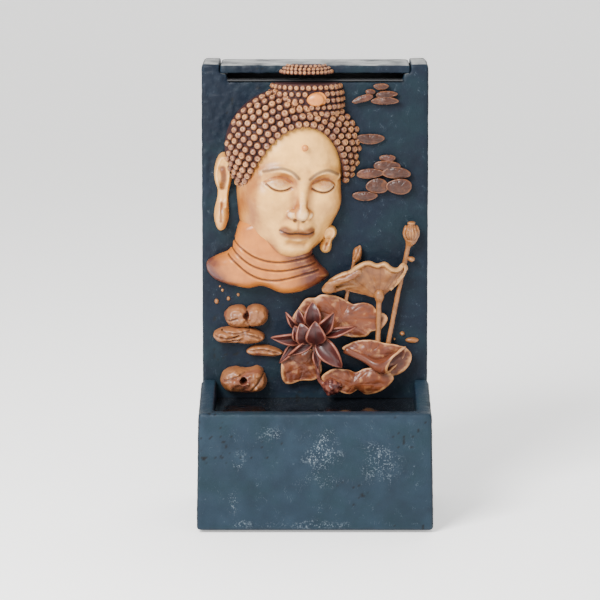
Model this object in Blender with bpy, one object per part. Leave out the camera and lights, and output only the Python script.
"""Tabletop wall fountain: a cast basin, an upright relief wall with a weir slot, and the pump behind it.

Metres, +Z up. The front faces -Y, and the origin is on the ground under the middle of the object.
Water is lifted by the pump through the riser hose to the weir tray, leaves over the spill lip and
falls down the front of the wall into the basin, then returns under the wall's skirt to the pump.
"""

import math

import bmesh
import bpy
from mathutils import Matrix, Vector

MM = 0.001

# Overall sizes
HEIGHT = 400 * MM
WIDTH = 206 * MM
GAP = 0.3 * MM  # between two pieces that touch
OVERRUN = 10 * MM  # how far a cutter runs past the face it opens

# Basin casting
FOOT_HEIGHT = 2 * MM
RIM_HEIGHT = 106 * MM
CHEEK_HEIGHT = 120 * MM  # the side walls rise to this height where they meet the wall
SEAT_HEIGHT = 92 * MM  # the upright stands on the rear half of the basin here
BASIN_DRAFT = 2 * MM
POOL_DEPTH = 80 * MM  # from the basin's front to the face of the wall
BASIN_SIDE = 13.5 * MM
BASIN_FRONT = 13 * MM
BASIN_REAR = 8 * MM
BASIN_FLOOR = 10 * MM
BASIN_EDGE = 2.5 * MM

# Upright wall casting
WALL_STEP = 1 * MM  # the wall is this much narrower than the basin on each side
WALL_DRAFT = 1 * MM
WALL_SLAB = 8 * MM
WALL_RETURN = 8 * MM
WALL_EDGE = 2 * MM
SKIRT_INSET = 1 * MM
SKIRT_CLEARANCE = 0.6 * MM
WATER_RETURN_GAP = 22 * MM  # under the skirt

# Weir: slot, lid, tray and spill lip
LID_THICKNESS = 7.5 * MM
LID_DROP = 0.8 * MM  # the lid's top lies this far under the pilasters' tops
LID_CLEARANCE = 0.6 * MM
SLOT_HEIGHT = 6.5 * MM
PILASTER_WIDTH = 15.5 * MM
LID_LEDGE = 6.5 * MM
LID_REAR_STEP = 3 * MM
TRAY_HEIGHT = 25 * MM
TRAY_DEPTH = 29 * MM
TRAY_WALL = 2 * MM
TRAY_FLANGE = 8 * MM
TRAY_DROP = 2.5 * MM  # tray rim under the sill of the slot
TRAY_CLEARANCE = 0.8 * MM
BLOCK_MARGIN = 4 * MM  # corner blocks reach this far under the tray
LIP_THICKNESS = 1.2 * MM
LIP_PROUD = 1.5 * MM

# Rear cover and its sliding hatch
COVER_THICKNESS = 3 * MM
COVER_RECESS = 7 * MM  # from the back edges of the wall to the cover's inner face
COVER_CLEARANCE = 0.6 * MM
HATCH_WIDTH = 82 * MM
HATCH_HEIGHT = 75 * MM
HATCH_THICKNESS = 2.2 * MM
HATCH_LAP = 6 * MM  # the hatch covers its opening by this much all round
HATCH_STOP = 2 * MM
RAIL_WIDTH = 3 * MM
RAIL_LIP = 1 * MM
RAIL_OVERHANG = 2.4 * MM
RAIL_EXTRA = 15 * MM  # rails run on above the closed hatch
PULL_WIDTH = 24 * MM
PULL_HEIGHT = 4 * MM
PULL_DEPTH = 1.1 * MM

# Screws, their bosses and the feet
BOSS_RADIUS = 5 * MM
BOSS_LOW = 34 * MM  # height of the lower bosses over the seat
BOSS_HIGH = 55 * MM  # depth of the upper bosses under the slot
SCREW_RADIUS = 1.5 * MM
SCREW_HOLE_RADIUS = 1.9 * MM
SCREW_LENGTH = 11 * MM
SCREW_HEAD_RADIUS = 3.2 * MM
SCREW_HEAD_HEIGHT = 1.8 * MM
CROSS_WIDTH = 0.9 * MM
CROSS_LENGTH = 3.4 * MM
CROSS_DEPTH = 1 * MM
TRAY_SCREW_LENGTH = 9 * MM
FOOT_RADIUS = 7 * MM
FOOT_INSET = 18 * MM

# Pump: the rotor turns about an axis along X
PUMP_LENGTH = 40 * MM
PUMP_DEPTH = 32 * MM
PUMP_ROOM = 4 * MM  # in front of the pump and behind it
PUMP_HEIGHT = 32 * MM
PUMP_INTAKE_X = -12 * MM
PUMP_EDGE = 2.5 * MM
CUP_HEIGHT = 6 * MM
CUP_RADIUS = 6 * MM
CUP_INSET = 7.5 * MM
VOLUTE_RADIUS = 12.5 * MM
VOLUTE_DEPTH = 9 * MM
ROTOR_BORE_RADIUS = 9 * MM
ROTOR_BORE_DEPTH = 28 * MM
ROTOR_RADIUS = 7.9 * MM
VANE_RADIUS = 10.6 * MM
VANE_THICKNESS = 1.3 * MM
VANE_COUNT = 6
HUB_RADIUS = 3.4 * MM
HUB_LENGTH = 7 * MM
HUB_SETBACK = 1.2 * MM
SHAFT_RADIUS = 1.2 * MM
SHAFT_CLEARANCE = 0.25 * MM
BUSH_RADIUS = 2.6 * MM
BUSH_LENGTH = 3 * MM
STRAINER_LENGTH = 9 * MM
STRAINER_FACE = 4 * MM
STRAINER_WALL = 2.5 * MM
STRAINER_BOSS_RADIUS = 4.6 * MM
STRAINER_SLOTS = 3  # on each side of the boss
STRAINER_SLOT_WIDTH = 1.6 * MM
STRAINER_SLOT_PITCH = 2.7 * MM
STRAINER_SLOT_LENGTH = 20 * MM
REGULATOR_RADIUS = 4.8 * MM
REGULATOR_THICKNESS = 2 * MM
REGULATOR_SPAN = 22 * MM
REGULATOR_WING = 6.5 * MM
REGULATOR_STUB_RADIUS = 1.5 * MM
REGULATOR_STUB_LENGTH = 2.2 * MM
NOZZLE_BASE_RADIUS = 5.6 * MM
NOZZLE_BASE_HEIGHT = 2 * MM
BARB_RADIUS = 4.1 * MM
BARB_BORE_RADIUS = 2.9 * MM
BARB_LENGTH = 11 * MM

# Riser hose, power inlet and the lead between pump and inlet
HOSE_RADIUS = 6.3 * MM
HOSE_WALL = 1.6 * MM
HOSE_POINTS = 22
TRAY_INLET_X = 18 * MM
INLET_X = 62 * MM
INLET_RISE = 24 * MM  # over the seat
INLET_RADIUS = 3.9 * MM
INLET_LENGTH = 14 * MM
INLET_FLANGE_RADIUS = 6 * MM
INLET_FLANGE_HEIGHT = 1.6 * MM
INLET_BORE_RADIUS = 2.8 * MM
INLET_BORE_DEPTH = 9 * MM
INLET_PIN_RADIUS = 0.9 * MM
NUT_RADIUS = 6.2 * MM
NUT_THICKNESS = 3 * MM
LEAD_RADIUS = 1.8 * MM
CLIP_SIZE = 8 * MM
CLIP_WALL = 1.4 * MM

# Relief artwork. It is drawn in millimetres for a wall of this face size and scaled to fit the real one
ART_WIDTH = 198 * MM
ART_HEIGHT = 279 * MM
HEAD_LEAN = 5.0  # degrees, the crown towards +X

# Heights and planes that follow from the sizes above
DEPTH = POOL_DEPTH + WALL_SLAB + PUMP_DEPTH + 2 * PUMP_ROOM + BASIN_REAR
FRONT_Y = -DEPTH / 2
BACK_Y = DEPTH / 2
FACE_Y = FRONT_Y + POOL_DEPTH
SLAB_BACK_Y = FACE_Y + WALL_SLAB
COVER_Y = BACK_Y - COVER_RECESS
COVER_BACK_Y = COVER_Y + COVER_THICKNESS
HATCH_Y = COVER_BACK_Y + GAP
FLOOR_Z = FOOT_HEIGHT + BASIN_FLOOR
LID_TOP_Z = HEIGHT - LID_DROP
LID_SEAT_Z = LID_TOP_Z - LID_THICKNESS - GAP
SILL_Z = LID_SEAT_Z - SLOT_HEIGHT
RIM_HALF = WIDTH / 2 - BASIN_DRAFT
WALL_FOOT_HALF = RIM_HALF - WALL_STEP
WALL_TOP_HALF = WALL_FOOT_HALF - WALL_DRAFT
POOL_HALF = RIM_HALF - BASIN_SIDE
CAVITY_HALF = WALL_TOP_HALF - WALL_RETURN
POCKET_HALF = WALL_TOP_HALF - PILASTER_WIDTH
SLOT_HALF = POCKET_HALF - LID_LEDGE
TRAY_HALF = SLOT_HALF - TRAY_FLANGE
TRAY_Y = SLAB_BACK_Y + TRAY_CLEARANCE
TRAY_RIM_Z = SILL_Z - TRAY_DROP
TRAY_BASE_Z = TRAY_RIM_Z - TRAY_HEIGHT
TRAY_LEDGE_Z = TRAY_RIM_Z - TRAY_WALL - GAP
BLOCK_Z = TRAY_BASE_Z - BLOCK_MARGIN
BAY_Y = (SLAB_BACK_Y + BACK_Y - BASIN_REAR) / 2  # middle of the pump bay
PUMP_BASE_Z = FLOOR_Z + CUP_HEIGHT
PUMP_TOP_Z = PUMP_BASE_Z + PUMP_HEIGHT
PUMP_AXIS_Z = PUMP_BASE_Z + PUMP_HEIGHT / 2
PUMP_END_X = PUMP_INTAKE_X + PUMP_LENGTH
NOZZLE_X = PUMP_INTAKE_X + VOLUTE_DEPTH / 2
INLET_Z = SEAT_HEIGHT + INLET_RISE
BOSS_X = CAVITY_HALF - BOSS_RADIUS + 1 * MM
TRAY_INLET_Y = TRAY_Y + TRAY_DEPTH / 2
ART_SCALE = min(2 * WALL_TOP_HALF / ART_WIDTH, (SILL_Z - RIM_HEIGHT) / ART_HEIGHT)

# name: (colour, roughness, metallic)
FINISHES = {
    "blue_resin": ((0.055, 0.105, 0.150), 0.55, 0.0),
    "gold_resin": ((0.640, 0.400, 0.170), 0.38, 0.0),
    "brown_resin": ((0.150, 0.075, 0.050), 0.45, 0.0),
    "clay_resin": ((0.460, 0.240, 0.120), 0.48, 0.0),
    "plum_resin": ((0.130, 0.045, 0.035), 0.40, 0.0),
    "black_plastic": ((0.020, 0.020, 0.022), 0.45, 0.0),
    "grey_plastic": ((0.180, 0.190, 0.200), 0.50, 0.0),
    "clear_vinyl": ((0.700, 0.750, 0.740), 0.20, 0.0),
    "rubber": ((0.030, 0.030, 0.030), 0.85, 0.0),
    "steel": ((0.560, 0.560, 0.550), 0.30, 1.0),
    "magnet": ((0.060, 0.060, 0.065), 0.55, 0.4),
    "ceramic": ((0.850, 0.840, 0.800), 0.25, 0.0),
}


# Modelling tools


def clear_scene():
    for old in list(bpy.data.objects):
        bpy.data.objects.remove(old)


def finish_material(name):
    material = bpy.data.materials.get(name)
    if material is None:
        colour, roughness, metallic = FINISHES[name]
        material = bpy.data.materials.new(name)
        material.use_nodes = True
        shader = material.node_tree.nodes["Principled BSDF"]
        shader.inputs["Base Color"].default_value = (*colour, 1.0)
        shader.inputs["Roughness"].default_value = roughness
        shader.inputs["Metallic"].default_value = metallic
    return material


def add_object(name, bm, finish=None):
    """Makes an object of the bmesh. With no finish it is a cutter or another helper."""
    bmesh.ops.recalc_face_normals(bm, faces=bm.faces)
    mesh = bpy.data.meshes.new(name)
    bm.to_mesh(mesh)
    bm.free()
    obj = bpy.data.objects.new(name, mesh)
    bpy.context.scene.collection.objects.link(obj)
    if finish:
        mesh.materials.append(finish_material(finish))
    else:
        obj.hide_render = True
        obj.display_type = "WIRE"
    return obj


def add_box(bm, low, high):
    middle = [(a + b) / 2 for a, b in zip(low, high)]
    size = [b - a for a, b in zip(low, high)]
    place = Matrix.Translation(middle) @ Matrix.Diagonal((*size, 1))
    bmesh.ops.create_cube(bm, size=1, matrix=place)


def box(name, low, high, finish=None):
    bm = bmesh.new()
    add_box(bm, low, high)
    return add_object(name, bm, finish)


AXIS_TURNS = {
    "X": Matrix.Rotation(math.pi / 2, 4, "Y"),
    "Y": Matrix.Rotation(-math.pi / 2, 4, "X"),
    "Z": Matrix.Identity(4),
}


def add_cylinder(bm, centre, axis, low, high, radius, segments=20, top_radius=None):
    """A cylinder or a cone along an axis through centre, from low to high on that axis."""
    along = "XYZ".index(axis)
    middle = list(centre)
    middle[along] = (low + high) / 2
    bmesh.ops.create_cone(
        bm,
        cap_ends=True,
        segments=segments,
        radius1=radius,
        radius2=radius if top_radius is None else top_radius,
        depth=high - low,
        matrix=Matrix.Translation(middle) @ AXIS_TURNS[axis],
    )


def cylinder(name, centre, axis, low, high, radius, finish=None, segments=20, top_radius=None):
    bm = bmesh.new()
    add_cylinder(bm, centre, axis, low, high, radius, segments, top_radius)
    return smooth(add_object(name, bm, finish))


def prism(name, outline, axis, low, high, finish=None):
    """Extrudes an outline along an axis. Its points are on the other two axes, in X, Y, Z order."""
    along = "XYZ".index(axis)

    def place(point, height):
        spot = list(point)
        spot.insert(along, height)
        return spot

    bm = bmesh.new()
    base = bm.faces.new([bm.verts.new(place(point, low)) for point in outline])
    raised = bmesh.ops.extrude_face_region(bm, geom=[base])["geom"]
    shift = Vector(place((0, 0), high - low))
    bmesh.ops.translate(bm, vec=shift, verts=[v for v in raised if isinstance(v, bmesh.types.BMVert)])
    return add_object(name, bm, finish)


def drafted_block(name, profile, half_width, finish):
    """A block with this side profile (Y, Z), whose half width is a function of the height."""
    bm = bmesh.new()
    sides = [[bm.verts.new((sign * half_width(z), y, z)) for y, z in profile] for sign in (-1, 1)]
    for side in sides:
        bm.faces.new(side)
    count = len(profile)
    for i in range(count):
        j = (i + 1) % count
        bm.faces.new((sides[0][i], sides[0][j], sides[1][j], sides[1][i]))
    return add_object(name, bm, finish)


def turned(name, profile, centre, axis, finish, segments=24):
    """A closed profile of (radius, position along the axis) turned round the axis through centre."""
    bm = bmesh.new()
    ring = [bm.verts.new((radius, 0, position)) for radius, position in profile]
    edges = [bm.edges.new((ring[i - 1], ring[i])) for i in range(len(ring))]
    bmesh.ops.spin(
        bm, geom=ring + edges, cent=(
            0, 0, 0
        ), axis=(0, 0, 1), angle=2 * math.pi, steps=segments, use_merge=True
    )
    bmesh.ops.remove_doubles(bm, verts=bm.verts, dist=1e-6)
    bmesh.ops.transform(bm, matrix=Matrix.Translation(centre) @ AXIS_TURNS[axis], verts=bm.verts)
    return smooth(add_object(name, bm, finish))


def smooth(obj):
    obj.data.shade_smooth()
    obj.data.set_sharp_from_angle(angle=math.radians(35))
    return obj


def bevel(obj, width, segments=2):
    modifier = obj.modifiers.new("edges", "BEVEL")
    modifier.width = width
    modifier.segments = segments
    modifier.limit_method = "ANGLE"
    modifier.angle_limit = math.radians(50)
    return obj


def boolean(obj, other, operation):
    modifier = obj.modifiers.new(f"{operation.lower()}_{other.name}", "BOOLEAN")
    modifier.operation = operation
    modifier.object = other
    modifier.solver = "EXACT"
    return obj


def cut(obj, *cutters):
    for cutter in cutters:
        boolean(obj, cutter, "DIFFERENCE")
    return obj


def join(obj, *others):
    for other in others:
        boolean(obj, other, "UNION")
    return obj


def mirrored_signs():
    return (("left", -1), ("right", 1))


# Basin and upright


def basin_half(z):
    share = (z - FOOT_HEIGHT) / (RIM_HEIGHT - FOOT_HEIGHT)
    return WIDTH / 2 - BASIN_DRAFT * min(share, 1)


def wall_half(z):
    share = (z - SEAT_HEIGHT) / (HEIGHT - SEAT_HEIGHT)
    return WALL_FOOT_HALF - WALL_DRAFT * share


def make_basin():
    rim_front_y = FRONT_Y + BASIN_DRAFT
    pool_front_y = rim_front_y + BASIN_FRONT
    cheek_y = FACE_Y - GAP
    profile = [
        (FRONT_Y, FOOT_HEIGHT),
        (rim_front_y, RIM_HEIGHT),
        (pool_front_y, RIM_HEIGHT),
        (cheek_y, CHEEK_HEIGHT),
        (cheek_y, SEAT_HEIGHT),
        (BACK_Y, SEAT_HEIGHT),
        (BACK_Y, FOOT_HEIGHT),
    ]
    basin = drafted_block("basin", profile, basin_half, "blue_resin")
    bevel(basin, BASIN_EDGE)
    pool = box(
        "pool_cutter",
        (-POOL_HALF, pool_front_y, FLOOR_Z),
        (POOL_HALF, BACK_Y - BASIN_REAR, CHEEK_HEIGHT + OVERRUN),
    )
    cut(basin, pool)


def screw_places():
    """Centres of the rear cover's screws, as (X, Z)."""
    low = SEAT_HEIGHT + BOSS_LOW
    high = SILL_Z - BOSS_HIGH
    return [(sign * BOSS_X, z) for z in (low, high) for _, sign in mirrored_signs()]


def make_wall():
    profile = [
        (FACE_Y, SEAT_HEIGHT + GAP),
        (FACE_Y, HEIGHT),
        (BACK_Y, HEIGHT),
        (BACK_Y, SEAT_HEIGHT + GAP),
    ]
    wall = drafted_block("wall_panel", profile, wall_half, "blue_resin")
    bevel(wall, WALL_EDGE)

    cavity_steps = [
        (CAVITY_HALF, SEAT_HEIGHT - OVERRUN),
        (CAVITY_HALF, BLOCK_Z),
        (TRAY_HALF + TRAY_CLEARANCE, BLOCK_Z),
        (TRAY_HALF + TRAY_CLEARANCE, TRAY_LEDGE_Z),
        (SLOT_HALF, TRAY_LEDGE_Z),
        (SLOT_HALF, LID_SEAT_Z),
        (POCKET_HALF, LID_SEAT_Z),
        (POCKET_HALF, HEIGHT + OVERRUN),
    ]
    cavity = prism("cavity_cutter", both_sides(cavity_steps), "Y", SLAB_BACK_Y, BACK_Y + OVERRUN)
    slot_steps = [
        (SLOT_HALF, SILL_Z),
        (SLOT_HALF, LID_SEAT_Z),
        (POCKET_HALF, LID_SEAT_Z),
        (POCKET_HALF, HEIGHT + OVERRUN),
    ]
    slot = prism("slot_cutter", both_sides(slot_steps), "Y", FACE_Y - OVERRUN, SLAB_BACK_Y + OVERRUN)
    cover_room = box(
        "cover_room_cutter",
        (-CAVITY_HALF, COVER_Y - GAP, SEAT_HEIGHT - OVERRUN),
        (CAVITY_HALF, BACK_Y + OVERRUN, LID_SEAT_Z + 2 * GAP),
    )

    skirt_half = POOL_HALF - SKIRT_CLEARANCE
    skirt = box(
        "skirt_piece",
        (-skirt_half, FACE_Y + SKIRT_INSET, FLOOR_Z + WATER_RETURN_GAP),
        (skirt_half, SLAB_BACK_Y - SKIRT_INSET, SEAT_HEIGHT + WALL_SLAB),
    )
    bosses = bmesh.new()
    holes = bmesh.new()
    for x, z in screw_places():
        centre = (x, 0, z)
        add_cylinder(bosses, centre, "Y", SLAB_BACK_Y - WALL_SLAB / 2, COVER_Y - GAP, BOSS_RADIUS, 16)
        add_cylinder(
            holes, centre, "Y", COVER_Y - SCREW_LENGTH, COVER_Y + OVERRUN, SCREW_HOLE_RADIUS, 12
        )
    for _, sign in mirrored_signs():
        centre = tray_screw_centre(sign)
        depth = TRAY_LEDGE_Z - TRAY_SCREW_LENGTH
        add_cylinder(holes, centre, "Z", depth, TRAY_LEDGE_Z + WALL_SLAB / 4, SCREW_HOLE_RADIUS, 12)
    boss_pieces = add_object("boss_pieces", bosses)
    screw_holes = add_object("screw_hole_cutters", holes)
    cut(wall, cavity, slot, cover_room)
    join(wall, skirt, boss_pieces)
    cut(wall, screw_holes)


def both_sides(steps):
    """A right-hand outline, low to high, closed by its mirror image."""
    return steps + [(-x, z) for x, z in reversed(steps)]


def make_feet():
    names = ("front_left", "front_right", "rear_left", "rear_right")
    spots = [(sx, sy) for sy in (-1, 1) for sx in (-1, 1)]
    for name, (sx, sy) in zip(names, spots):
        centre = (sx * (WIDTH / 2 - FOOT_INSET), sy * (DEPTH / 2 - FOOT_INSET), 0)
        cylinder(f"foot_pad_{name}", centre, "Z", 0, FOOT_HEIGHT - GAP, FOOT_RADIUS, "rubber")


# Weir


def make_lid():
    half = POCKET_HALF - LID_CLEARANCE
    lid = box(
        "weir_lid",
        (-half, FACE_Y, LID_SEAT_Z + GAP),
        (half, BACK_Y - LID_REAR_STEP, LID_TOP_Z),
        "blue_resin",
    )
    bevel(lid, WALL_EDGE / 2)


def tray_screw_centre(sign):
    return (sign * (TRAY_HALF + TRAY_FLANGE / 2 + TRAY_CLEARANCE / 2), TRAY_INLET_Y, 0)


def make_tray():
    rear_y = TRAY_Y + TRAY_DEPTH
    tray = box(
        "weir_tray",
        (-TRAY_HALF, TRAY_Y, TRAY_BASE_Z),
        (TRAY_HALF, rear_y, TRAY_RIM_Z),
        "black_plastic",
    )
    trough = box(
        "trough_cutter",
        (-TRAY_HALF + TRAY_WALL, TRAY_Y + TRAY_WALL, TRAY_BASE_Z + TRAY_WALL),
        (TRAY_HALF - TRAY_WALL, rear_y - TRAY_WALL, TRAY_RIM_Z + OVERRUN),
    )
    parts = bmesh.new()
    holes = bmesh.new()
    flange_end = TRAY_HALF + TRAY_FLANGE - GAP
    for _, sign in mirrored_signs():
        ends = sorted((sign * (TRAY_HALF - TRAY_WALL / 2), sign * flange_end))
        low = (ends[0], TRAY_Y + TRAY_WALL, TRAY_RIM_Z - TRAY_WALL)
        add_box(parts, low, (ends[1], rear_y - TRAY_WALL, TRAY_RIM_Z))
        hole = tray_screw_centre(sign)
        add_cylinder(holes, hole, "Z", TRAY_RIM_Z - OVERRUN, TRAY_RIM_Z + OVERRUN, SCREW_HOLE_RADIUS, 12)
    barb_centre = (TRAY_INLET_X, TRAY_INLET_Y, 0)
    add_cylinder(
        parts, barb_centre, "Z", TRAY_BASE_Z - BARB_LENGTH, TRAY_BASE_Z + TRAY_WALL / 2, BARB_RADIUS, 16
    )
    bore_low = TRAY_BASE_Z - BARB_LENGTH - OVERRUN
    add_cylinder(
        holes, barb_centre, "Z", bore_low, TRAY_BASE_Z + TRAY_WALL + OVERRUN, BARB_BORE_RADIUS, 16
    )
    additions = add_object("tray_flange_and_barb_pieces", parts)
    cutters = add_object("tray_hole_cutters", holes)
    join(tray, additions)
    cut(tray, trough, cutters)
    bm = bmesh.new()
    lip_half = SLOT_HALF - LID_CLEARANCE
    low = (-lip_half, FACE_Y - LIP_PROUD, SILL_Z + GAP)
    add_box(bm, low, (lip_half, TRAY_Y + TRAY_WALL, SILL_Z + GAP + LIP_THICKNESS))
    add_object("spill_lip", bm, "black_plastic")


# Rear cover, hatch and screws


def make_rear_cover():
    cover_half = CAVITY_HALF - COVER_CLEARANCE
    cover = box(
        "rear_cover",
        (-cover_half, COVER_Y, SEAT_HEIGHT + GAP + COVER_CLEARANCE),
        (cover_half, COVER_BACK_Y, LID_SEAT_Z - COVER_CLEARANCE),
        "black_plastic",
    )
    hatch_half = HATCH_WIDTH / 2
    hatch_low = hatch_bottom()
    hatch_back_y = HATCH_Y + HATCH_THICKNESS
    embed_y = COVER_BACK_Y - COVER_THICKNESS / 2
    lip_y = hatch_back_y + GAP
    right_rail = [
        (hatch_half + GAP, embed_y),
        (hatch_half + GAP + RAIL_WIDTH, embed_y),
        (hatch_half + GAP + RAIL_WIDTH, lip_y + RAIL_LIP),
        (hatch_half - RAIL_OVERHANG, lip_y + RAIL_LIP),
        (hatch_half - RAIL_OVERHANG, lip_y),
        (hatch_half + GAP, lip_y),
    ]
    rail_top = hatch_low + HATCH_HEIGHT + RAIL_EXTRA
    stop_low = hatch_low - GAP - HATCH_STOP
    for name, sign in mirrored_signs():
        outline = [(sign * x, y) for x, y in right_rail]
        join(cover, prism(f"{name}_rail_piece", outline, "Z", stop_low, rail_top))
    stop_half = hatch_half + GAP + RAIL_WIDTH / 2
    stop = box(
        "hatch_stop_piece", (-stop_half, embed_y, stop_low), (stop_half, hatch_back_y, hatch_low - GAP)
    )
    opening = box(
        "hatch_opening_cutter",
        (-hatch_half + HATCH_LAP, COVER_Y - OVERRUN, hatch_low + HATCH_LAP),
        (hatch_half - HATCH_LAP, HATCH_Y, hatch_low + HATCH_HEIGHT - HATCH_LAP),
    )
    holes = bmesh.new()
    for x, z in screw_places():
        add_cylinder(
            holes, (x, 0, z), "Y", COVER_Y - OVERRUN, COVER_BACK_Y + OVERRUN, SCREW_HOLE_RADIUS, 12
        )
    centre = (INLET_X, 0, INLET_Z)
    add_cylinder(holes, centre, "Y", COVER_Y - OVERRUN, COVER_BACK_Y + OVERRUN, INLET_RADIUS + GAP, 20)
    join(cover, stop)
    cut(cover, opening, add_object("cover_hole_cutters", holes))


def hatch_bottom():
    return SEAT_HEIGHT + GAP + COVER_CLEARANCE + HATCH_STOP + GAP


def make_hatch():
    low_z = hatch_bottom()
    half = HATCH_WIDTH / 2 - GAP
    back_y = HATCH_Y + HATCH_THICKNESS
    hatch = box(
        "pump_hatch", (-half, HATCH_Y, low_z), (half, back_y, low_z + HATCH_HEIGHT), "black_plastic"
    )
    pull_z = low_z + HATCH_HEIGHT - HATCH_LAP - 2 * PULL_HEIGHT
    pull = box(
        "hatch_pull_piece",
        (-PULL_WIDTH / 2, back_y - HATCH_THICKNESS / 2, pull_z),
        (PULL_WIDTH / 2, back_y + PULL_DEPTH, pull_z + PULL_HEIGHT),
    )
    join(hatch, pull)


def make_screw(name, centre, axis, seat, length):
    """A pan-head screw whose head rests at seat and whose shank points down the axis."""
    low = seat - length
    head = seat + SCREW_HEAD_HEIGHT
    profile = [
        (0, low),
        (SCREW_RADIUS / 3, low),
        (SCREW_RADIUS, low + 2 * SCREW_RADIUS),
        (SCREW_RADIUS, seat),
        (SCREW_HEAD_RADIUS, seat),
        (SCREW_HEAD_RADIUS, seat + SCREW_HEAD_HEIGHT / 2),
        (SCREW_HEAD_RADIUS * 0.6, head),
        (0, head),
    ]
    screw = turned(name, profile, centre, axis, "steel", 12)
    along = "XYZ".index(axis)
    offset = [centre[i] for i in range(3) if i != along]
    a = CROSS_WIDTH / 2
    b = CROSS_LENGTH / 2
    plus = [
        (a, a),
        (a, b),
        (-a, b),
        (-a, a),
        (-b, a),
        (-b, -a),
        (-a, -a),
        (-a, -b),
        (a, -b),
        (a, -a),
        (b, -a),
        (b, a),
    ]
    outline = [(u + offset[0], v + offset[1]) for u, v in plus]
    cut(screw, prism(f"{name}_cross_cutter", outline, axis, head - CROSS_DEPTH, head + OVERRUN))


def make_screws():
    for number, (x, z) in enumerate(screw_places(), 1):
        make_screw(f"rear_cover_screw_{number}", (x, 0, z), "Y", COVER_BACK_Y + GAP, SCREW_LENGTH)
    for side, sign in mirrored_signs():
        centre = tray_screw_centre(sign)
        make_screw(f"tray_screw_{side}", centre, "Z", TRAY_RIM_Z + GAP, TRAY_SCREW_LENGTH)


# Pump


def pump_axis():
    return (0, BAY_Y, PUMP_AXIS_Z)


def make_pump_housing():
    low = (PUMP_INTAKE_X, BAY_Y - PUMP_DEPTH / 2, PUMP_BASE_Z)
    high = (PUMP_END_X, BAY_Y + PUMP_DEPTH / 2, PUMP_TOP_Z)
    housing = box("pump_housing", low, high, "black_plastic")
    bevel(housing, PUMP_EDGE)
    axis = pump_axis()
    mouth = PUMP_INTAKE_X - OVERRUN
    bore_end = PUMP_INTAKE_X + ROTOR_BORE_DEPTH
    bush_end = bore_end + BUSH_LENGTH + 2 * GAP
    volute = cylinder(
        "volute_cutter", axis, "X", mouth, PUMP_INTAKE_X + VOLUTE_DEPTH, VOLUTE_RADIUS, None, 28
    )
    bore = cylinder("rotor_bore_cutter", axis, "X", mouth, bore_end, ROTOR_BORE_RADIUS, None, 28)
    seat = cylinder("rear_bush_cutter", axis, "X", mouth, bush_end, BUSH_RADIUS + GAP, None, 16)
    centre = (NOZZLE_X, BAY_Y, 0)
    outlet = cylinder(
        "outlet_cutter", centre, "Z", PUMP_AXIS_Z, PUMP_TOP_Z + OVERRUN, BARB_BORE_RADIUS, None, 16
    )
    cut(housing, volute, bore, seat, outlet)


def make_rotor():
    axis = pump_axis()
    hub_low = PUMP_INTAKE_X + HUB_SETBACK
    hub_high = hub_low + HUB_LENGTH
    bore_end = PUMP_INTAKE_X + ROTOR_BORE_DEPTH
    rotor_low = hub_high + GAP
    rotor_high = bore_end - 2 * GAP
    hole = SHAFT_RADIUS + SHAFT_CLEARANCE
    impeller = cylinder("impeller", axis, "X", hub_low, hub_high, HUB_RADIUS, "grey_plastic", 20)
    vane_bm = bmesh.new()
    for i in range(VANE_COUNT):
        before = set(vane_bm.verts)
        low = (hub_low + GAP, -VANE_THICKNESS / 2, HUB_RADIUS * 0.7)
        add_box(vane_bm, low, (hub_high - GAP, VANE_THICKNESS / 2, VANE_RADIUS))
        new = [v for v in vane_bm.verts if v not in before]
        turn = Matrix.Translation((0, axis[1], axis[2])) @ Matrix.Rotation(
            2 * math.pi * i / VANE_COUNT, 4, "X"
        )
        bmesh.ops.transform(vane_bm, matrix=turn, verts=new)
    vanes = add_object("vane_pieces", vane_bm)
    shaft_hole = cylinder(
        "impeller_bore_cutter", axis, "X", hub_low - OVERRUN, rotor_high + OVERRUN, hole, None, 16
    )
    join(impeller, vanes)
    cut(impeller, shaft_hole)
    tube = [(hole, rotor_low), (ROTOR_RADIUS, rotor_low), (ROTOR_RADIUS, rotor_high), (hole, rotor_high)]
    turned("rotor_magnet", tube, (0, axis[1], axis[2]), "X", "magnet", 24)

    front_bush_low = strainer_bush_x()
    rear_bush_low = bore_end + GAP
    for name, low in (("front_bush", front_bush_low), ("rear_bush", rear_bush_low)):
        ring = [
            (hole, low), (BUSH_RADIUS, low), (BUSH_RADIUS, low + BUSH_LENGTH), (hole, low + BUSH_LENGTH)
        ]
        turned(name, ring, (0, axis[1], axis[2]), "X", "rubber", 16)
    shaft_low = front_bush_low + GAP
    shaft_high = rear_bush_low + BUSH_LENGTH - GAP
    cylinder("impeller_shaft", axis, "X", shaft_low, shaft_high, SHAFT_RADIUS, "ceramic", 12)


def strainer_bush_x():
    """Where the front bush starts, just inside the strainer's boss."""
    return PUMP_INTAKE_X - GAP - STRAINER_LENGTH + STRAINER_FACE


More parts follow.
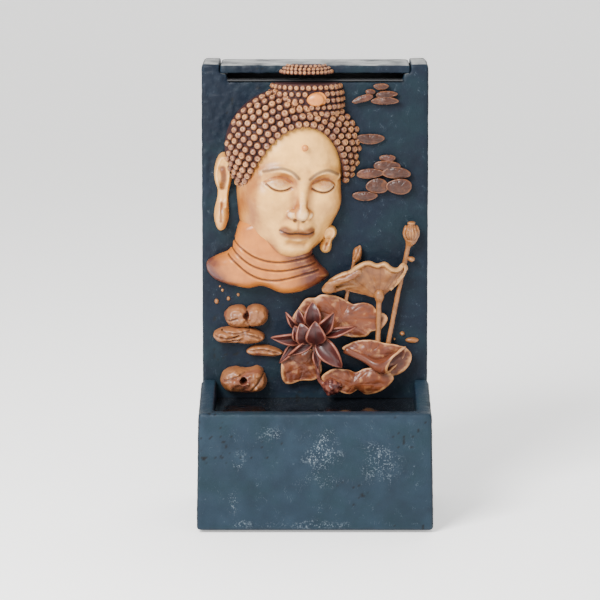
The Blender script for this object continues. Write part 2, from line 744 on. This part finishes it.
def make_strainer():
    axis = pump_axis()
    outer_x = PUMP_INTAKE_X - GAP - STRAINER_LENGTH
    inner_x = PUMP_INTAKE_X - GAP
    low = (outer_x, BAY_Y - PUMP_DEPTH / 2, PUMP_BASE_Z)
    high = (inner_x, BAY_Y + PUMP_DEPTH / 2, PUMP_TOP_Z)
    strainer = box("pump_strainer", low, high, "black_plastic")
    bevel(strainer, PUMP_EDGE / 2)
    pocket = box(
        "strainer_pocket_cutter",
        (outer_x + STRAINER_FACE, low[1] + STRAINER_WALL, low[2] + STRAINER_WALL),
        (inner_x + OVERRUN, high[1] - STRAINER_WALL, high[2] - STRAINER_WALL),
    )
    boss_end = strainer_bush_x() + BUSH_LENGTH
    boss = cylinder(
        "strainer_boss_piece",
        axis,
        "X",
        outer_x + STRAINER_FACE / 2,
        boss_end,
        STRAINER_BOSS_RADIUS,
        None,
        20,
    )
    bush_seat = cylinder(
        "front_bush_cutter",
        axis,
        "X",
        strainer_bush_x() - GAP,
        inner_x + OVERRUN,
        BUSH_RADIUS + GAP,
        None,
        16,
    )
    stub_end = outer_x + REGULATOR_STUB_LENGTH + GAP
    stub_radius = REGULATOR_STUB_RADIUS + GAP
    stub_hole = cylinder(
        "regulator_hole_cutter", axis, "X", outer_x - OVERRUN, stub_end, stub_radius, None, 16
    )
    slots = bmesh.new()
    for _, sign in mirrored_signs():
        for i in range(STRAINER_SLOTS):
            offset = STRAINER_BOSS_RADIUS + STRAINER_SLOT_WIDTH / 2 + i * STRAINER_SLOT_PITCH
            y = BAY_Y + sign * offset
            corner = (
                outer_x - OVERRUN, y - STRAINER_SLOT_WIDTH / 2, PUMP_AXIS_Z - STRAINER_SLOT_LENGTH / 2
            )
            far = (
                outer_x + OVERRUN, y + STRAINER_SLOT_WIDTH / 2, PUMP_AXIS_Z + STRAINER_SLOT_LENGTH / 2
            )
            add_box(slots, corner, far)
    cut(strainer, pocket)
    join(strainer, boss)
    cut(strainer, bush_seat, stub_hole, add_object("strainer_slot_cutters", slots))


def make_regulator():
    axis = pump_axis()
    face_x = PUMP_INTAKE_X - GAP - STRAINER_LENGTH - GAP
    outer_x = face_x - REGULATOR_THICKNESS
    regulator = cylinder(
        "flow_regulator", axis, "X", outer_x, face_x, REGULATOR_RADIUS, "grey_plastic", 20
    )
    additions = bmesh.new()
    add_box(
        additions,
        (outer_x + GAP, axis[1] - REGULATOR_WING / 2, axis[2] - REGULATOR_SPAN / 2),
        (face_x - GAP, axis[1] + REGULATOR_WING / 2, axis[2] + REGULATOR_SPAN / 2),
    )
    wings = add_object("regulator_wing_piece", additions)
    stub = cylinder(
        "regulator_stub_piece",
        axis,
        "X",
        face_x - REGULATOR_THICKNESS / 2,
        face_x + GAP + REGULATOR_STUB_LENGTH,
        REGULATOR_STUB_RADIUS,
        None,
        12,
    )
    join(regulator, wings, stub)


def make_nozzle():
    low = PUMP_TOP_Z + GAP
    base_top = low + NOZZLE_BASE_HEIGHT
    top = base_top + BARB_LENGTH
    profile = [
        (BARB_BORE_RADIUS, low),
        (NOZZLE_BASE_RADIUS, low),
        (NOZZLE_BASE_RADIUS, base_top),
        (BARB_RADIUS, base_top),
        (BARB_RADIUS, top - BARB_RADIUS / 2),
        (BARB_RADIUS - GAP, top),
        (BARB_BORE_RADIUS, top),
    ]
    turned("outlet_nozzle", profile, (NOZZLE_X, BAY_Y, 0), "Z", "grey_plastic", 16)


def make_suction_cups():
    names = ("front_left", "front_right", "rear_left", "rear_right")
    middle_x = (PUMP_INTAKE_X + PUMP_END_X) / 2
    spots = [(sx, sy) for sy in (-1, 1) for sx in (-1, 1)]
    low = FLOOR_Z + GAP
    top = PUMP_BASE_Z - GAP
    neck = CUP_RADIUS / 2
    profile = [
        (0, low),
        (CUP_RADIUS, low),
        (neck, low + (top - low) * 0.55),
        (neck, top),
        (0, top),
    ]
    for name, (sx, sy) in zip(names, spots):
        x = middle_x + sx * (PUMP_LENGTH / 2 - CUP_INSET)
        y = BAY_Y + sy * (PUMP_DEPTH / 2 - CUP_INSET)
        turned(f"suction_cup_{name}", profile, (x, y, 0), "Z", "rubber", 14)


# Hose, inlet and lead


def smoothstep(t):
    return t * t * (3 - 2 * t)


def make_hose():
    """A hollow tube: straight over each barb, and easing from one to the other between them."""
    start = PUMP_TOP_Z + GAP + NOZZLE_BASE_HEIGHT + GAP
    end = TRAY_BASE_Z - GAP
    straight = BARB_LENGTH * 1.5
    curve = bpy.data.curves.new("riser_hose", "CURVE")
    curve.dimensions = "3D"
    spline = curve.splines.new("POLY")
    spline.points.add(HOSE_POINTS - 1)
    for i, point in enumerate(spline.points):
        z = start + (end - start) * i / (HOSE_POINTS - 1)
        t = smoothstep(min(max((z - start - straight) / (end - start - 2 * straight), 0), 1))
        x = NOZZLE_X + (TRAY_INLET_X - NOZZLE_X) * t
        y = BAY_Y + (TRAY_INLET_Y - BAY_Y) * t
        point.co = (x, y, z, 1)
    curve.bevel_depth = HOSE_RADIUS
    curve.bevel_resolution = 3
    curve.materials.append(finish_material("clear_vinyl"))
    hose = bpy.data.objects.new("riser_hose", curve)
    bpy.context.scene.collection.objects.link(hose)
    wall = hose.modifiers.new("hose_wall", "SOLIDIFY")
    wall.thickness = HOSE_WALL
    wall.offset = -1


def make_power_inlet():
    low = COVER_BACK_Y - INLET_LENGTH
    flange = COVER_BACK_Y + GAP
    outer = flange + INLET_FLANGE_HEIGHT
    bore_end = outer - INLET_BORE_DEPTH
    profile = [
        (0, low),
        (INLET_RADIUS, low),
        (INLET_RADIUS, flange),
        (INLET_FLANGE_RADIUS, flange),
        (INLET_FLANGE_RADIUS, outer),
        (INLET_BORE_RADIUS, outer),
        (INLET_BORE_RADIUS, bore_end),
        (INLET_PIN_RADIUS, bore_end),
        (INLET_PIN_RADIUS, outer - INLET_FLANGE_HEIGHT),
        (0, outer - INLET_FLANGE_HEIGHT),
    ]
    centre = (INLET_X, 0, INLET_Z)
    turned("power_inlet", profile, centre, "Y", "black_plastic", 20)
    nut_high = COVER_Y - GAP
    nut = cylinder("inlet_nut", centre, "Y", nut_high - NUT_THICKNESS, nut_high, NUT_RADIUS, "steel", 6)
    hole = cylinder(
        "nut_hole_cutter", centre, "Y", low, nut_high + OVERRUN, INLET_RADIUS + GAP, None, 20
    )
    cut(nut, hole)


def catmull_rom(points, t):
    """The point at t, from 0 to 1, of a smooth curve through the points."""
    spans = len(points) - 1
    place = min(t * spans, spans - 1e-9)
    i = int(place)
    u = place - i
    last = len(points) - 1
    p0, p1, p2, p3 = (Vector(points[min(max(i + k, 0), last)]) for k in (-1, 0, 1, 2))
    linear = (p2 - p0) * u
    square = (2 * p0 - 5 * p1 + 4 * p2 - p3) * u * u
    cube = (3 * p1 - p0 - 3 * p2 + p3) * u**3
    return 0.5 * (2 * p1 + linear + square + cube)


def make_lead():
    """The pump's lead: out of the pump's end, up past the clip on the wall's inner face, to the inlet."""
    clip_y = SLAB_BACK_Y + GAP + CLIP_SIZE / 2
    clip_z = SEAT_HEIGHT + CLIP_SIZE
    inlet_low = COVER_BACK_Y - INLET_LENGTH - GAP
    route = [
        (PUMP_END_X + GAP, BAY_Y, PUMP_AXIS_Z),
        (PUMP_END_X + 10 * MM, BAY_Y, PUMP_AXIS_Z + 1 * MM),
        (INLET_X - 14 * MM, BAY_Y - 3 * MM, PUMP_AXIS_Z + 9 * MM),
        (INLET_X - 4 * MM, (BAY_Y + clip_y) / 2, PUMP_TOP_Z + 10 * MM),
        (INLET_X, clip_y, clip_z - 2 * CLIP_SIZE),
        (INLET_X, clip_y, clip_z - CLIP_SIZE * 0.7),
        (INLET_X, clip_y, clip_z + CLIP_SIZE * 0.7),
        (INLET_X, clip_y + 3 * MM, INLET_Z - 4 * MM),
        (INLET_X, inlet_low - 9 * MM, INLET_Z),
        (INLET_X, inlet_low, INLET_Z),
    ]
    curve = bpy.data.curves.new("pump_lead", "CURVE")
    curve.dimensions = "3D"
    spline = curve.splines.new("POLY")
    count = 30
    spline.points.add(count - 1)
    for i, point in enumerate(spline.points):
        point.co = (*catmull_rom(route, i / (count - 1)), 1)
    curve.bevel_depth = LEAD_RADIUS
    curve.bevel_resolution = 2
    curve.use_fill_caps = True
    curve.materials.append(finish_material("black_plastic"))
    lead = bpy.data.objects.new("pump_lead", curve)
    bpy.context.scene.collection.objects.link(lead)

    half = LEAD_RADIUS + GAP + CLIP_WALL
    clip = box(
        "lead_clip",
        (INLET_X - half, SLAB_BACK_Y + GAP, clip_z - CLIP_SIZE / 2),
        (INLET_X + half, clip_y + half, clip_z + CLIP_SIZE / 2),
        "black_plastic",
    )
    centre = (INLET_X, clip_y, 0)
    radius = LEAD_RADIUS + 2 * GAP
    cut(
        clip,
        cylinder(
            "clip_hole_cutter", centre, "Z", clip_z - CLIP_SIZE, clip_z + CLIP_SIZE, radius, None, 16
        ),
    )


# Relief


def art(size):
    """A length of the artwork, given in its millimetres, at the wall's own scale."""
    return size * MM * ART_SCALE


def below_slot(x, drop):
    return art(x), SILL_Z - art(drop)


def above_rim(x, rise):
    return art(x), RIM_HEIGHT + art(rise)


def ellipsoid_bm(place, radii, degrees=0.0, y=FACE_Y, segments=(20, 12), grow=0.0):
    bm = bmesh.new()
    bmesh.ops.create_uvsphere(bm, u_segments=segments[0], v_segments=segments[1], radius=1)
    size = Matrix.Diagonal((*(radius + grow for radius in radii), 1))
    turn = Matrix.Rotation(math.radians(degrees), 4, "Y")
    matrix = Matrix.Translation((place[0], y, place[1])) @ turn @ size
    bmesh.ops.transform(bm, matrix=matrix, verts=bm.verts)
    return bm


def keep_side(bm, point, normal):
    """Cuts a closed mesh by a plane, keeps what the normal points away from, and caps it."""
    everything = list(bm.verts) + list(bm.edges) + list(bm.faces)
    bmesh.ops.bisect_plane(bm, geom=everything, plane_co=point, plane_no=normal, clear_outer=True)
    rim = [edge for edge in bm.edges if edge.is_boundary]
    bmesh.ops.holes_fill(bm, edges=rim)
    return bm


def in_front_of_wall(bm, offset=0.0):
    return keep_side(bm, (0, FACE_Y - GAP - offset, 0), (0, 1, 0))


def pillow(name, place, half_size, thickness, degrees=0.0, offset=0.0, finish=None, segments=18):
    """A flat-backed oval boss on the wall, with a rounded edge and a low crown."""
    rings = ((1.0, 0.0), (1.0, 0.45), (0.86, 0.82), (0.5, 0.97))
    bm = bmesh.new()
    angle = math.radians(degrees)
    back_y = FACE_Y - GAP - art(offset)
    loops = []
    for share, depth in rings:
        loop = []
        for i in range(segments):
            turn = 2 * math.pi * i / segments
            dx = art(half_size[0]) * share * math.cos(turn)
            dz = art(half_size[1]) * share * math.sin(turn)
            x = place[0] + dx * math.cos(angle) - dz * math.sin(angle)
            z = place[1] + dx * math.sin(angle) + dz * math.cos(angle)
            loop.append(bm.verts.new((x, back_y - art(thickness) * depth, z)))
        loops.append(loop)
    bm.faces.new(loops[0])
    bm.faces.new(loops[-1])
    for inner, outer in zip(loops, loops[1:]):
        for i in range(segments):
            j = (i + 1) % segments
            bm.faces.new((inner[i], inner[j], outer[j], outer[i]))
    return smooth(add_object(name, bm, finish))


def rod(name, ends, radius, offset):
    """A round stem between two places on the wall, its back touching the wall at the offset."""
    y = FACE_Y - GAP - art(offset) - art(radius)
    start = Vector((ends[0][0], y, ends[0][1]))
    finish = Vector((ends[1][0], y, ends[1][1]))
    direction = finish - start
    turn = direction.to_track_quat("Z", "Y").to_matrix().to_4x4()
    bm = bmesh.new()
    bmesh.ops.create_cone(
        bm,
        cap_ends=True,
        segments=10,
        radius1=art(radius),
        radius2=art(radius),
        depth=direction.length,
        matrix=Matrix.Translation((start + finish) / 2) @ turn,
    )
    return add_object(name, bm)


HEAD = below_slot(-23, 88)  # the middle of the face
FACE_RADII = (49, 43, 62)
SKULL = below_slot(-24.5, 64)
SKULL_RADII = (59, 33, 56)
CROWN = below_slot(-7.5, 14)
CROWN_RADII = (29, 24, 27.5)
JEWEL = below_slot(0.5, 13.5)
JEWEL_RADII = (8.2, 4, 6.2)
JEWEL_RELIEF = 24.5  # its middle, from the wall
BEAD = below_slot(-8.5, 54)
BEAD_RADIUS = 2.7
BEAD_RELIEF = 34.5


def art_radii(radii):
    return tuple(art(radius) for radius in radii)


def make_head():
    face_place = HEAD
    face_radii = art_radii(FACE_RADII)
    face_bm = in_front_of_wall(ellipsoid_bm(face_place, face_radii, HEAD_LEAN, segments=(24, 16)))
    face = smooth(add_object("face_relief", face_bm, "gold_resin"))
    grown_face = add_object(
        "face_clearance_cutter",
        ellipsoid_bm(face_place, face_radii, HEAD_LEAN, segments=(24, 16), grow=GAP * 2),
    )

    hair_bm = in_front_of_wall(ellipsoid_bm(SKULL, art_radii(SKULL_RADII), HEAD_LEAN, segments=(24, 16)))
    hair_bm = keep_side(hair_bm, (0, 0, SKULL[1] - art(34)), (0, 0, -1))
    hair = smooth(add_object("hair_relief", hair_bm, "brown_resin"))
    crown_bm = in_front_of_wall(ellipsoid_bm(CROWN, art_radii(CROWN_RADII), HEAD_LEAN))
    crown_bm = keep_side(crown_bm, (0, 0, SILL_Z - GAP), (0, 0, 1))
    crown = add_object("crown_piece", crown_bm)

    jewel_y = FACE_Y - art(JEWEL_RELIEF)
    jewel_radii = art_radii(JEWEL_RADII)
    smooth(
        add_object("crown_jewel", ellipsoid_bm(JEWEL, jewel_radii, 0, jewel_y, (16, 10)), "gold_resin"),
    )
    jewel_seat = add_object(
        "jewel_seat_cutter", ellipsoid_bm(JEWEL, jewel_radii, 0, jewel_y, (16, 10), GAP * 2)
    )
    bead_y = FACE_Y - art(BEAD_RELIEF)
    bead_radii = art_radii((BEAD_RADIUS,) * 3)
    smooth(add_object("brow_bead", ellipsoid_bm(BEAD, bead_radii, 0, bead_y, (12, 8)), "gold_resin"))
    bead_seat = add_object(
        "bead_seat_cutter", ellipsoid_bm(BEAD, bead_radii, 0, bead_y, (12, 8), GAP * 2)
    )

    pillow("left_ear", below_slot(-81, 97), (8, 35), 15, 2, finish="gold_resin")
    left_seat = pillow("left_ear_cutter", below_slot(-81, 97), (8.7, 35.7), 16, 2, offset=-1)
    right_ear = pillow("right_ear", below_slot(11.5, 139), (7, 11.5), 9, -20, finish="gold_resin")
    bust = make_bust()

    cut(face, left_seat, bead_seat)
    join(hair, crown)
    cut(hair, grown_face, jewel_seat, left_seat)
    cut(right_ear, grown_face)
    cut(bust, grown_face)


def make_bust():
    """Neck and shoulders, cut off in a wavy line as the casting is."""
    bust = pillow(
        "neck_and_shoulders", below_slot(-42, 169), (53, 17.5), 15, -3, finish="gold_resin", segments=24
    )
    neck_bm = bmesh.new()
    place = below_slot(-34, 0)
    low = SILL_Z - art(178)
    high = SILL_Z - art(126)
    bmesh.ops.create_cone(
        neck_bm,
        cap_ends=True,
        segments=24,
        radius1=1,
        radius2=1,
        depth=high - low,
        matrix=Matrix.Translation(
            (place[0], FACE_Y, (low + high) / 2),
        ) @ Matrix.Diagonal((art(33), art(25), 1, 1)),
    )
    neck = add_object("neck_piece", keep_side(neck_bm, (0, FACE_Y - art(1), 0), (0, 1, 0)))
    return join(bust, neck)


def make_crown_top():
    """The tip of the crown that the slot parts from the rest. It is fixed to the lid's front."""
    bm = in_front_of_wall(ellipsoid_bm(CROWN, art_radii(CROWN_RADII), HEAD_LEAN))
    bm = keep_side(bm, (0, 0, LID_SEAT_Z + 2 * GAP), (0, 0, -1))
    bm = keep_side(bm, (0, 0, LID_TOP_Z - GAP), (0, 0, 1))
    smooth(add_object("crown_top", bm, "brown_resin"))


def make_cluster(name, pads, finish):
    """Overlapping pads joined into one piece. Each is (place, half size, thickness, turn, offset)."""
    first, *others = pads
    place, half_size, thickness, degrees, offset = first
    cluster = pillow(name, place, half_size, thickness, degrees, offset, finish, 14)
    for number, (place, half_size, thickness, degrees, offset) in enumerate(others, 2):
        join(
            cluster,
            pillow(f"{name}_piece_{number}", place, half_size, thickness, degrees, offset, None, 14),
        )
    return cluster


def make_pads():
    make_cluster(
        "lily_pads_top",
        [
            (below_slot(61, 12.5), (14, 4.6), 3.2, 2, 0),
            (below_slot(62, 19), (14.5, 3.4), 2.6, 3, 0),
            (below_slot(43, 16.5), (10.5, 4), 2.4, 14, 0),
            (below_slot(57, 5), (7.5, 4.2), 2.2, 5, 0),
        ],
        "clay_resin",
    )
    pillow("lily_pad_single", below_slot(49, 49.5), (13.5, 4.9), 2.6, -2, finish="clay_resin")
    make_cluster(
        "lily_pads_low",
        [
            (below_slot(62, 76), (15.5, 5.6), 3.4, 0, 0),
            (below_slot(64, 67.5), (8, 4.6), 2.6, 0, 0),
            (below_slot(51, 83), (14, 4.6), 2.8, 4, 0),
            (below_slot(76, 82), (10, 4.6), 2.6, -8, 0),
            (below_slot(58, 92), (11.5, 7), 3.6, -10, 0),
            (below_slot(76.5, 93), (11.5, 7), 3.2, 12, 0),
        ],
        "clay_resin",
    )


def make_stones():
    stones = {
        "stone_upper": ((-60.5, 71.5), (20, 10.4), 13, -6),
        "stone_middle": ((-67.5, 53), (23.5, 7.6), 14, -3),
        "stone_small": ((-43.5, 39.8), (16.5, 6), 8, 6),
        "stone_waterline": ((-64.5, 14.5), (20.5, 11.5), 22, -3),
    }
    for name, (spot, half_size, thickness, degrees) in stones.items():
        pillow(name, above_rim(*spot), half_size, thickness, degrees, finish="clay_resin")


def make_lotus():
    back_leaf = 5.0
    pillow(
        "lotus_leaf_back",
        above_rim(22, 72.5),
        (42, 17),
        back_leaf,
        -2,
        finish="clay_resin",
        segments=24,
    )
    heart = above_rim(-5, 61)
    petals = [
        (12, 38, 6.5), (62, 26, 7), (100, 25, 8), (138, 33, 6), (188, 33, 7), (222, 25, 6), (303, 36, 9)
    ]
    pads = [(heart, (15, 14), 24, 0, back_leaf + 0.6)]
    for degrees, length, half_width in petals:
        angle = math.radians(degrees)
        middle = (
            heart[0] + art(length / 2) * math.cos(angle), heart[1] + art(length / 2) * math.sin(angle)
        )
        pads.append((middle, (length / 2, half_width), 12, degrees, back_leaf + 0.6))
    make_cluster("lotus_flower", pads, "plum_resin")
    pillow("lotus_leaf_low_left", above_rim(-12, 27.5), (18, 16), back_leaf, 8, finish="clay_resin")
    pillow(
        "lotus_leaf_low_right", above_rim(39, 14.5), (30, 11.5), 17, 4, finish="clay_resin", segments=24
    )
    pillow("lotus_leaf_curled", above_rim(57, 38.5), (28, 11), 20, -7, finish="clay_resin", segments=24)

    umbrella = pillow(
        "umbrella_leaf",
        above_rim(44, 106),
        (31, 13.5),
        16,
        14,
        offset=4.6,
        finish="clay_resin",
        segments=24,
    )
    stem_offset = back_leaf + 0.6
    join(
        umbrella,
        rod("umbrella_stem_piece", (above_rim(56, 100), above_rim(55.5, 51.5)), 2.3, stem_offset),
    )
    pod = pillow("seed_pod", above_rim(84, 148), (7.8, 9.5), 15, 10, finish="clay_resin")
    join(pod, rod("pod_stem_piece", (above_rim(83.5, 141), above_rim(64.5, 51.5)), 2.3, stem_offset))
    bud = pillow("lotus_bud", above_rim(37, 126), (4.6, 8.6), 8, -14, finish="clay_resin", segments=14)
    join(bud, rod("bud_stem_piece", (above_rim(35.5, 121), above_rim(27, 92)), 1.7, 0.4))


def main():
    clear_scene()
    make_basin()
    make_wall()
    make_feet()
    make_lid()
    make_tray()
    make_rear_cover()
    make_hatch()
    make_screws()
    make_pump_housing()
    make_rotor()
    make_strainer()
    make_regulator()
    make_nozzle()
    make_suction_cups()
    make_hose()
    make_power_inlet()
    make_lead()
    make_head()
    make_crown_top()
    make_pads()
    make_stones()
    make_lotus()


main()
